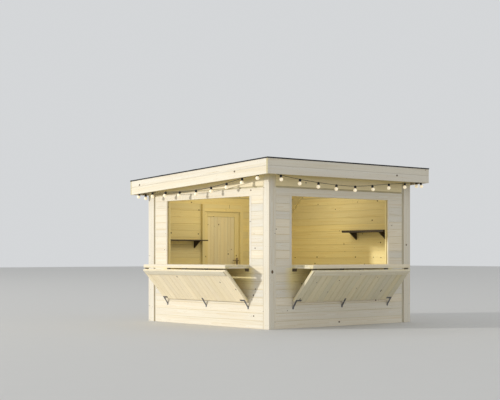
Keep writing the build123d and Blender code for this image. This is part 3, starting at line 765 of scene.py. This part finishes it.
def makeTop(node, along, ends, gold):  # the boards over the wall plate, cut to the slope
    timber = Timber(node, gold=gold)
    low, high = planBox(node)
    boardLow, boardHigh = strips(timber, low, Vector((*high[:2], low.z + gable["plankTop"])), along, ends)
    lines = [low.z + wall["band"], low.z + gable["plankTop"]]
    while high.z - lines[-1] > pitch + gable["thinnest"]:
        lines.append(lines[-1] + pitch)
    lines.append(high.z + gable["spare"])
    for a, b in zip(lines, lines[1:]):
        boardHigh[along] = wallEnd(ends[1][1])[1] if a == lines[0] else high[along]
        boardLow[along] = -wallEnd("near")[1] if a == lines[0] else low[along]
        if along == 1 and b > roofZ(high.y, roof["deck"]):  # the slope runs out of this row before the back
            boardHigh.y = min(boardHigh.y, (sideHigh.z - roof["deck"] - a) / slope - roofOut)
        boardLow.z, boardHigh.z = a, b
        timber.board(boardLow, boardHigh, along, gable["ease"], cuts=atDeck, tone=gable["tone"])
    timber.finish()


def makePosts():  # an inner post and cover boards at each corner
    timber = Timber("corner_posts")
    far, cover = halfPlan - wallThick, halfPlan - wall["cover"]
    inner, sunk = far + wall["lap"], halfPlan - groove["near"][1] - wall["lap"]
    out, start = halfPlan, far - wall["cover"]
    uprights = [
        ((-out, -cover), (-out, -cover), "frontPost"), ((-sunk, -postEdge), (-sunk, -postEdge), None),
        ((start, far), (-out, -far), "rightPost"), ((far, out), (-out, -cover), None),
        ((postEdge, inner), (-inner, -postEdge), None), ((-out, -far), (start, far), None),
        ((-out, -cover), (far, out), None), ((-inner, -postEdge), (postEdge, inner), None),
        ((far, out), (start, far), None), ((cover, out), (far, out), None),
        ((postEdge, inner), (postEdge, inner), None),
    ]
    for (x0, x1), (y0, y1), knotted in uprights:
        low, high = (x0, y0, 0), (x1, y1, feltTop)
        timber.board(low, high, 2, post["ease"], cuts=atDeck, tone=post["tone"], knotted=knotted)
    timber.finish()


def makeFascias():  # two boards one over the other on each side
    joint, board = fascia["joint"], fasciaHeight / 2
    lap = planBox("front_fascia")[1].y + roofOut  # the front and back boards run past the side ones
    for node in ("left_fascia", "right_fascia"):
        low, high = planBox(node)
        timber = Timber(node)
        for top in (0, 1):
            z = -top * board
            timber.board(
                (low.x, -roofOut + lap, z - board + joint), (high.x, roofOut - lap, z - joint), 1,
                fascia["sideEase"], onSlope, tone=0.35 + 0.3 * top,
            )
        timber.finish()
    for node in ("front_fascia", "back_fascia"):
        low, high = planBox(node)
        timber = Timber(node)
        timber.endGrain = fascia["endGrain"]
        middle = (low.z + high.z) / 2
        for a, b, cuts in ((low.z, middle - joint, ()), (middle + joint, high.z, atFelt)):
            timber.board((-roofOut, low.y, a), (roofOut, high.y, b), 0, fascia["ease"], cuts=cuts, tone=0.2)
        timber.finish()


def makeRoofWood():
    low, high = planBox("roof_deck")
    # the deck and rafters take the indoor gold, deepened as painted warm bounce light under the roof
    timber = Timber("roof_deck", gold=1.0)
    count = round((high.y - low.y) / roof["deckPitch"])
    step = (high.y - low.y) / count
    for i in range(count):
        y = low.y + i * step
        timber.board((low.x, y, -roof["deck"]), (high.x, y + step, 0), 0, roof["deckEase"], onSlope)
    timber.finish()
    low, high = planBox("rafters")
    timber = Timber("rafters", gold=1.0, name="roofRafters")
    step = (high.x - low.x - rafter["width"]) / (rafter["count"] - 1)
    under = -roof["deck"]
    for i in range(rafter["count"]):
        x = low.x + i * step
        start, end = (x, low.y, under - rafter["height"]), (x + rafter["width"], high.y, under)
        timber.board(start, end, 1, rafter["ease"], onSlope)
    timber.finish()


# gold by side: painted light and shade, palest on the sunlit left gable, most golden on the shaded beams
makeTop("left_gable", 1, nearFar, 0.25)
makeTop("right_gable", 1, nearFar, 0.4)
makeTop("front_beam", 0, nearFar, 0.5)
makeTop("back_beam", 0, nearNear, 0.5)
makePosts()
makeFascias()
makeRoofWood()

# Roofing felt: the sheet itself, its laps and the nails along its turned-down edge
feltWork = dict(
    laps=3, lapWidth=0.10, lapThick=0.0035, lapParts=40, inset=0.001, wave=0.004, rough=0.001,
    nailPitch=0.15, nailRadius=0.0055, nailProud=0.0018, nailSunk=0.001, nailDown=0.008, nailSteps=8,
)


def makeFeltLaps():
    bm = bmesh.new()
    reach = sheetEdge - feltWork["inset"]
    half, thick = feltWork["lapWidth"] / 2, feltWork["lapThick"] / 2
    for i in range(feltWork["laps"]):
        y = -roofOut + (i + 1) * 2 * roofOut / (feltWork["laps"] + 1)
        block(bm, (-reach, y - half, roof["felt"] - thick), (reach, y + half, roof["felt"] + thick))
        long = [e for e in bm.edges if abs(e.verts[0].co.x - e.verts[1].co.x) > reach]
        bmesh.ops.subdivide_edges(bm, edges=long, cuts=feltWork["lapParts"])
    pick = random.Random(4)
    rough = feltWork["rough"]
    for v in bm.verts:  # hand-cut edges are never quite straight
        v.co.y += feltWork["wave"] * math.sin(v.co.x * 3.1 + v.co.y * 5) + pick.uniform(-rough, rough)
    bmesh.ops.transform(bm, matrix=toRow @ onSlope, verts=bm.verts)
    settle(linkMesh(bm, "feltLaps", roofFelt), "kiosk", "felt")


def makeFeltNails():
    bm = bmesh.new()
    radius, proud, sunk = feltWork["nailRadius"], feltWork["nailProud"], -feltWork["nailSunk"]
    head = [(0, proud), (0.003, proud - 0.0003), (radius, 0.0004), (radius, sunk), (0, sunk)]
    count = int(2 * roofOut / feltWork["nailPitch"])
    for i in range(count):
        along = -roofOut + (i + 0.5) * 2 * roofOut / count
        for normal in ((1, 0, 0), (-1, 0, 0), (0, 1, 0), (0, -1, 0)):
            x, y = (sheetEdge * n if n else along for n in normal[:2])
            spot = (x, y, roofZ(y, feltWork["nailDown"]))
            turned(bm, head, feltWork["nailSteps"], toRow @ facing(spot, normal))
    settle(linkMesh(bm, "feltNails", darkSteel), "kiosk", "dark_steel")


makeFeltLaps()
makeFeltNails()
print("roof made")


def looseParts(node):  # the corners of each separate fitting in a node, from the middle of the plan
    bm = bmesh.new()
    bm.from_mesh(nodes[node].data)
    bmesh.ops.transform(bm, matrix=toRow.inverted() @ nodes[node].matrix_world, verts=bm.verts)
    bmesh.ops.remove_doubles(bm, verts=bm.verts, dist=1e-5)
    seen, parts = set(), []
    for start in bm.verts:
        if start in seen:
            continue
        seen.add(start)
        part = [start]
        for v in part:
            for other in (e.other_vert(v) for e in v.link_edges):
                if other not in seen:
                    seen.add(other)
                    part.append(other)
        places = [v.co for v in part]
        parts.append((Vector(map(min, zip(*places))), Vector(map(max, zip(*places)))))
    bm.free()
    return sorted(parts, key=lambda part: tuple(part[0]))


# Serving windows and their folding shutters, made for the front and turned over to the left side
window = dict(batten=0.045, thick=0.028, sillDepth=0.120, sillThick=0.018, ease=0.002, sillEase=0.004)
shutter = dict(board=0.027, batten=0.070, ease=0.0025)
counter = dict(boards=4, battenGold=0.3, gold=0.1)
flap = dict(
    boards=18, length=0.620, thick=0.045, topOut=0.434, footGap=0.016, drop=0.008, battenBack=0.022,
    ease=0.0035, tongue=0.010, battenGold=0.5,
    lathInset=0.022, lathWidth=0.080, lathThick=0.016, lathEase=0.003, lathGold=0.25,
)
flapLook = {  # painted light and shade: the left leaf, which faces the key light, is paler and lighter; the front leaf, in shade, darker and more golden
    "front": dict(gold=0.45, paintedLight=-0.4, gap=0.0036),
    "left": dict(gold=0.15, paintedLight=1.3, gap=0.0018),
}


def makeWindowFrame(node, place):
    timber = Timber(node, place)
    y0, y1, b = -innerFace, window["thick"] - innerFace, window["batten"]
    for x in (openLow - b, openHigh):
        timber.board((x, y0, sillZ - b), (x + b, y1, headZ + b), 2, window["ease"])
    for z in (headZ, sillZ - b):
        timber.board((openLow, y0, z), (openHigh, y1, z + b), 0, window["ease"])
    sillBack, sillTop = window["sillDepth"] - halfPlan, sillZ + window["sillThick"]
    timber.board((openLow, -halfPlan, sillZ), (openHigh, sillBack, sillTop), 0, window["sillEase"])
    timber.finish()


def battens(timber, low, high, local):  # a frame with a middle cross piece, in the plane of x and y
    b = shutter["batten"]
    middle = (low.x + high.x) / 2
    for y in (low.y, high.y - b):
        timber.board((low.x, y, low.z), (high.x, y + b, high.z), 0, shutter["ease"], local)
    for x in (low.x, middle - b / 2, high.x - b):
        timber.board((x, low.y + b, low.z), (x + b, high.y - b, high.z), 1, shutter["ease"], local)


def evenLines(start, end, count):
    return [start + (end - start) * i / count for i in range(count + 1)]


def makeCounter(node, place):
    timber = Timber(node, place, gold=counter["battenGold"])
    low, high = counterLow, counterHigh
    boardZ = high.z - shutter["board"]
    battens(timber, low, Vector((high.x, high.y, boardZ)), Matrix())
    timber.goldness = counter["gold"]
    lines = evenLines(low.y, high.y, counter["boards"])
    timber.rows((low.x, 0, boardZ), (high.x, 0, high.z), 0, 1, lines, shutter["ease"])
    timber.finish()


# The hanging leaf's own plane: x along the wall, y up the leaf, z out of its outer face
flapAngle = math.acos((flap["topOut"] - flap["footGap"]) / flap["length"])
upLeaf = Vector((0, -math.cos(flapAngle), math.sin(flapAngle)))
outLeaf = Vector((0, -math.sin(flapAngle), -math.cos(flapAngle)))
flapTop = Vector((0, -halfPlan - flap["topOut"], counterLow.z - flap["drop"]))
onFlap = Matrix.Translation(flapTop - upLeaf * flap["length"]) @ Matrix(
    ((1, 0, 0, 0), (0, upLeaf.y, outLeaf.y, 0), (0, upLeaf.z, outLeaf.z, 0), (0, 0, 0, 1))
)


def makeFlap(node, place, look):
    timber = Timber(node, place, gold=flap["battenGold"])
    x0, x1 = counterLow.x, counterHigh.x
    inner, outer, top = flap["thick"] - shutter["board"], flap["thick"], flap["length"]
    battens(timber, Vector((x0, 0, 0)), Vector((x1, top - flap["battenBack"], inner)), onFlap)
    # painted light and shade on the outer boards, set per side
    timber.goldness, timber.paintedLight, timber.endGrain = look["gold"], look["paintedLight"], 0.0
    lines = evenLines(x0, x1, flap["boards"])
    timber.rows(
        (0, 0, inner), (0, top, outer), 1, 0, lines, flap["ease"], look["gap"], flap["tongue"], onFlap
    )
    timber.goldness, timber.paintedLight = flap["lathGold"], min(look["paintedLight"], 0.0)
    timber.board(
        (x0 + flap["lathInset"], top - flap["lathWidth"], outer),
        (x1 - flap["lathInset"], top, outer + flap["lathThick"]), 0, flap["lathEase"], onFlap,
    )
    timber.finish()


for side, place in (("front", toRow), ("left", toRow @ frontToLeft)):
    makeWindowFrame(side + "_window_frame", place)
    makeCounter(side + "_counter", place)
    makeFlap(side + "_flap", place, flapLook[side])
print("windows and shutters made")

# Back door
door = dict(
    stile=0.095, topRail=0.085, bottomRail=0.160, ease=0.003, panelBoards=8, panelEase=0.0035,
    frame=0.050, frameEase=0.002, headPlay=0.007, threshold=0.022,
    topStop=0.008, sideStop=0.012, stopPlay=0.003,
)


def makeDoorFrame():
    timber = Timber("door_frame")
    low, high = planBox("door_frame")
    leafLow, leafHigh = planBox("door_leaf")
    headUnder = leafHigh.z + door["headPlay"]
    headTop, stopUnder = headUnder + door["frame"], headUnder - door["topStop"]
    x0, x1 = low.x + door["frame"], high.x - door["frame"]
    threshold, stopFace, sideStop = door["threshold"], leafLow.y - door["stopPlay"], door["sideStop"]
    pieces = [
        ((low.x, low.y, 0), (x0, high.y, high.z), 2), ((x1, low.y, 0), (high.x, high.y, high.z), 2),
        ((x0, low.y, headUnder), (x1, high.y, headTop), 0), ((x0, low.y, headTop), (x1, high.y, high.z), 0),
        ((x0, low.y, 0), (x1, high.y, threshold), 0),
        ((x0, low.y, stopUnder), (x1, stopFace, headUnder), 0),
        ((x0, low.y, threshold), (x0 + sideStop, stopFace, stopUnder), 2),
        ((x1 - sideStop, low.y, threshold), (x1, stopFace, stopUnder), 2),
    ]
    for start, end, along in pieces:
        timber.board(start, end, along, door["frameEase"])
    timber.finish()


def makeDoorLeaf():
    low, high = planBox("door_leaf")
    stile, top, bottom = door["stile"], high.z - door["topRail"], low.z + door["bottomRail"]
    timber = Timber("door_leaf")
    for x in (low.x, high.x - stile):
        timber.board((x, low.y, low.z), (x + stile, high.y, high.z), 2, door["ease"], tone=0.5)
    for z0, z1 in ((low.z, bottom), (top, high.z)):
        timber.board((low.x + stile, low.y, z0), (high.x - stile, high.y, z1), 0, door["ease"], tone=0.4)
    timber.finish("door")
    low, high = planBox("door_panel")
    timber = Timber("door_panel")
    lines = evenLines(low.x, high.x, door["panelBoards"])
    timber.rows((0, low.y, low.z), (0, high.y, high.z), 2, 0, lines, door["panelEase"])
    timber.finish("door")


def roundedBlock(bm, low, high, ease, radius):  # the corners that run along y are rounded first
    before = set(bm.verts)
    block(bm, low, high)
    depth = high[1] - low[1]
    fresh = [e for e in bm.edges if e.verts[0] not in before]
    easeEdges(bm, [e for e in fresh if abs((e.verts[0].co - e.verts[1].co).y) > 0.9 * depth], radius, 6)
    fresh = [e for e in bm.edges if e.verts[0] not in before]
    easeEdges(bm, [e for e in fresh if e.calc_face_angle(0) > 0.7], ease, 3)


handle = dict(
    height=0.980, plateWidth=0.038, plateHeight=0.230, plateRise=0.050, plateThick=0.004, plateCorner=0.012,
    plateEase=0.0012, neck=0.009, rose=0.016, reach=0.044,
    lever=0.118, leverHeight=0.020, leverThick=0.011, leverCorner=0.008, leverEase=0.003,
    keyRadius=0.008, keyProud=0.0065, keyDown=0.078,
)


def makeHandle():
    low, high = planBox("door_leaf")
    x, z = high.x - door["stile"] / 2, handle["height"]
    top, bottom = z + handle["plateRise"], z + handle["plateRise"] - handle["plateHeight"]
    half, rise = handle["plateWidth"] / 2, handle["leverHeight"] / 2
    neck, rose, reach = handle["neck"], handle["rose"], handle["reach"]
    shank = [
        (0, 0), (rose, 0), (rose, 0.005), (rose - 0.0025, 0.008), (neck, 0.010),
        (neck, reach - 0.002), (neck - 0.002, reach), (0, reach),
    ]
    r, proud = handle["keyRadius"], handle["keyProud"]
    keyhole = [(0, 0), (r, 0), (r, proud - 0.001), (r - 0.0015, proud), (0, proud)]
    bm = bmesh.new()
    for face, out in ((low.y, -1), (high.y, 1)):
        near, far = sorted((face, face + out * handle["plateThick"]))
        start, end = (x - half, near, bottom), (x + half, far, top)
        roundedBlock(bm, start, end, handle["plateEase"], handle["plateCorner"])
        turned(bm, shank, 24, facing((x, face, z), (0, out, 0)))
        bar = face + out * reach
        near, far = sorted((bar - out * handle["leverThick"], bar))
        start, end = (x - handle["lever"], near, z - rise), (x + neck, far, z + rise)
        roundedBlock(bm, start, end, handle["leverEase"], handle["leverCorner"])
        turned(bm, keyhole, 20, facing((x, face, z - handle["keyDown"]), (0, out, 0)))
    bmesh.ops.transform(bm, matrix=toRow, verts=bm.verts)
    settle(linkMesh(bm, "doorHandle", handleSteel), "door", "dark_steel", "door_handle")


makeDoorFrame()
makeDoorLeaf()
makeHandle()
print("door made")

# Shelves and knee braces inside
shelf = dict(bracket=0.024, drop=0.120, share=0.8, inset=0.140, ease=0.002, bracketEase=0.0015)
# brace tone darkens the braces: painted shade for their shaded undersides
brace = dict(thick=0.045, width=0.130, ease=0.002, tone=-0.6, longer=1.6, above=0.3)


def bracketBoard(timber, low, high, along):  # a triangular bracket: a block cut on the slant
    out = 1 - along
    normal = Vector((0, 0, low[out] - high[out]))
    normal[out] = low.z - high.z
    point = Vector((0, 0, high.z))
    point[out] = low[out]
    timber.board(low, high, out, shelf["bracketEase"], cuts=((point, normal.normalized()),))


def makeShelf(node, along, thick):
    low, high = planBox(node)
    out, under = 1 - along, high.z - thick
    timber = Timber(node)
    timber.board((low.x, low.y, under), high, along, shelf["ease"])
    for place in (low[along] + shelf["inset"], high[along] - shelf["inset"]):
        a, b = low.copy(), high.copy()
        a[along], b[along] = place - shelf["bracket"] / 2, place + shelf["bracket"] / 2
        a[out] = high[out] - (high - low)[out] * shelf["share"]
        a.z, b.z = under - shelf["drop"], under
        bracketBoard(timber, a, b, along)
    timber.finish(slot="dark_shelf", material=darkShelf)


def makeBraces():
    timber = Timber("knee_braces")
    low, high = planBox("knee_braces")
    turn = Matrix.Translation((0, high.y, low.z)) @ Matrix.Rotation(math.radians(-45), 4, "X")
    back = turn.inverted()
    for x in (low.x, high.x - brace["thick"]):
        # laid along the 45 degree line, then cut upright at the post and level at the top
        cuts = (
            (back @ Vector((x, high.y, low.z)), back.to_3x3() @ Vector((0, 1, 0))),
            (back @ Vector((x, high.y, high.z)), back.to_3x3() @ Vector((0, 0, 1))),
        )
        start = (x, -brace["longer"] * (high.z - low.z), 0)
        end = (x + brace["thick"], brace["above"], brace["width"])
        timber.board(start, end, 1, brace["ease"], turn, cuts, brace["tone"])
    timber.finish()


makeShelf("back_shelf", 0, 0.018)
makeShelf("right_shelf", 1, 0.036)
makeBraces()

# Steel fittings and the sheet of felt keep their own solids
fittings = {
    hingeSteel: ("front_hinges", "left_hinges"), bracketSteel: ("front_brackets", "left_brackets"),
    darkSteel: ("door_hinge_pins", "door_hinge_leaves", "string_hooks"), roofFelt: ("roof_felt",),
}
for material, names in fittings.items():
    for name in names:
        nodes[name].data.materials.clear()
        nodes[name].data.materials.append(material)

# Screws in the fittings, and the nails that hold cover boards and fascias
screwLook = dict(radius=0.0042, steps=14, proud=0.0009)
nailLook = dict(radius=0.0023, steps=8, proud=0.0006)
fixing = dict(
    edge=0.014, strapFoot=0.012, bracketThick=0.004, leafUp=0.038, leafScrews=(0.010, 0.046, 0.082),
    plated=0.04,  # a bracket wider than this has a plate on the leaf
    hingeEdge=0.015, hingeBack=0.016, plate=0.003,
    coverEdge=0.025, coverRows=9, fasciaNails=7, fasciaRows=4, fasciaEnd=0.06,
)


class Fixings:
    def __init__(self, name):
        self.name = name
        self.bm = bmesh.new()

    def turn(self, look, profile, spot, normal, place):
        turned(self.bm, profile, look["steps"], place @ facing(spot, normal))

    def screw(self, spot, normal, place=toRow):  # a head with a sunk middle
        r, proud = screwLook["radius"], screwLook["proud"]
        hollow = [(0, 0.0001), (r * 0.40, 0.0001), (r * 0.45, proud)]
        profile = [*hollow, (r * 0.8, proud - 0.0001), (r, 0.0001), (r, -0.0008)]
        self.turn(screwLook, profile, spot, normal, place)

    def nail(self, spot, normal):
        r, proud = nailLook["radius"], nailLook["proud"]
        profile = [(0, proud), (r * 0.6, proud - 0.0001), (r, 0.0001), (r, -0.0008)]
        self.turn(nailLook, profile, spot, normal, toRow)

    def finish(self, body, material):
        settle(linkMesh(self.bm, self.name, material), body, "dark_steel")


def screwShutters(name, place):
    screws = Fixings(name)
    thick = fixing["bracketThick"]
    brackets = looseParts("front_brackets")
    for low, high in brackets:
        last = (low, high) == brackets[-1]  # the right-hand bracket is turned the other way
        corner, inward = (high.x, -1) if last else (low.x, 1)
        strap = corner + inward * fixing["edge"]
        screws.screw((strap, -halfPlan - thick, low.z + fixing["strapFoot"]), (0, -1, 0), place)
        for step in fixing["leafScrews"] if high.x - low.x > fixing["plated"] else (fixing["edge"],):
            spot = (corner + inward * step, fixing["leafUp"], flap["thick"] + thick)
            screws.screw(spot, (0, 0, 1), place @ onFlap)
    for low, high in looseParts("front_hinges"):
        outer = low.y < -halfPlan - flap["topOut"] / 2
        leaf = high.y - fixing["hingeBack"] if outer else low.y + fixing["hingeBack"]
        for x in (low.x + fixing["hingeEdge"], (low.x + high.x) / 2, high.x - fixing["hingeEdge"]):
            screws.screw((x, leaf, counterLow.z - fixing["plate"]), (0, 0, -1), place)
            if not outer:
                screws.screw((x, -halfPlan - fixing["plate"], low.z + fixing["edge"]), (0, -1, 0), place)
    screws.finish("kiosk", hingeSteel)


def screwDoor(name, node, body):
    screws = Fixings(name)
    edge = fixing["edge"]
    for low, high in looseParts(node):
        x = high.x - edge if body == "door" else low.x + edge
        for z in (low.z + edge, (low.z + high.z) / 2, high.z - edge):
            screws.screw((x, halfPlan + fixing["plate"], z), (0, 1, 0))
    screws.finish(body, darkSteel)


def nailCovers():
    nails = Fixings("coverNails")
    near = (-halfPlan + fixing["coverEdge"], -halfPlan + wall["cover"] - fixing["coverEdge"])
    farEnd = halfPlan - wallThick
    far = (farEnd - wall["cover"] + fixing["coverEdge"], farEnd - fixing["coverEdge"])
    for i in range(fixing["coverRows"]):
        z = (2 * i + 0.5) * pitch
        for a in (*near, *far):
            nails.nail((a, -halfPlan, z), (0, -1, 0))
            nails.nail((-halfPlan, a, z), (-1, 0, 0))
            nails.nail((halfPlan, a, z), (1, 0, 0))
        for a in (*near, -near[0], -near[1]):
            nails.nail((a, halfPlan, z), (0, 1, 0))
    nails.finish("kiosk", hingeSteel)


def nailFascias():
    nails = Fixings("fasciaNails")
    end = roofOut - fixing["fasciaEnd"]
    for a in evenLines(-end, end, fixing["fasciaNails"] - 1):
        for j in range(fixing["fasciaRows"]):
            down = fasciaHeight * (j + 0.5) / fixing["fasciaRows"]
            for side, node in ((-1, "front_fascia"), (1, "back_fascia")):
                nails.nail((side * roofOut, a, roofZ(a, down)), (side, 0, 0))
                nails.nail((a, side * roofOut, planBox(node)[0].z + fasciaHeight - down), (0, side, 0))
    nails.finish("kiosk", hingeSteel)


screwShutters("frontScrews", toRow)
screwShutters("leftScrews", toRow @ frontToLeft)
screwDoor("doorHingeScrews", "door_hinge_leaves", "door")
screwDoor("frameHingeScrews", "door_hinge_pins", "kiosk")
nailCovers()
nailFascias()
print("fittings made")

# Plain pale floor and soft light
studio = dict(
    floor=tint(208, 207, 204), fleck=tint(202, 201, 198), floorSize=160.0,
    sky=(0.96, 0.98, 1.0, 1), skyStrength=0.69,
)
sun = dict(stands=(-50.8, 28.95, 14.6), aim=(0, 0, 1.1), size=2.0, power=22800.0, colour=(1.0, 0.985, 0.95))
roomLights = dict(
    stands=((-0.5, 0.25, 2.0), (0.5, 0.0, 2.0)), powers=(15.0, 10.0), size=0.12, colour=(1, 0.97, 0.88),
)


def makeFloor():
    bm = bmesh.new()
    bmesh.ops.create_grid(bm, x_segments=1, y_segments=1, size=studio["floorSize"] / 2)
    finish = Finish("floor")
    fleck = finish.noise(finish.objectAt(), 3.0, 3.0)
    colour = finish.mix(fleck * 0.3, studio["floor"], studio["fleck"])
    material = finish.done({"Base Color": colour, "Roughness": 0.85})
    made = linkMesh(bm, "floor", material)


def placeLight(data, stands, power, colour):
    data.energy = power
    data.color = colour
    made = bpy.data.objects.new(data.name, data)
    made.location = centre + Vector(stands)
    made.visible_camera = False
    bpy.context.scene.collection.objects.link(made)
    return made


def makeSun():
    data = bpy.data.lights.new("keyLight", "AREA")
    data.size = sun["size"]
    made = placeLight(data, sun["stands"], sun["power"], sun["colour"])
    made.rotation_euler = (Vector(sun["stands"]) - Vector(sun["aim"])).to_track_quat("Z", "Y").to_euler()


def makeRoomLights():
    for i, (stands, power) in enumerate(zip(roomLights["stands"], roomLights["powers"])):
        data = bpy.data.lights.new("roomLight" + str(i), "POINT")
        data.shadow_soft_size = roomLights["size"]
        placeLight(data, stands, power, roomLights["colour"])


def makeSky():
    world = bpy.data.worlds.new("sky")
    world.use_nodes = True
    light = world.node_tree.nodes["Background"].inputs
    light["Color"].default_value = studio["sky"]
    light["Strength"].default_value = studio["skyStrength"]
    bpy.context.scene.world = world
    bpy.context.scene.view_settings.view_transform = "Standard"


makeFloor()
makeSun()
makeRoomLights()
makeSky()
print("stage lit")
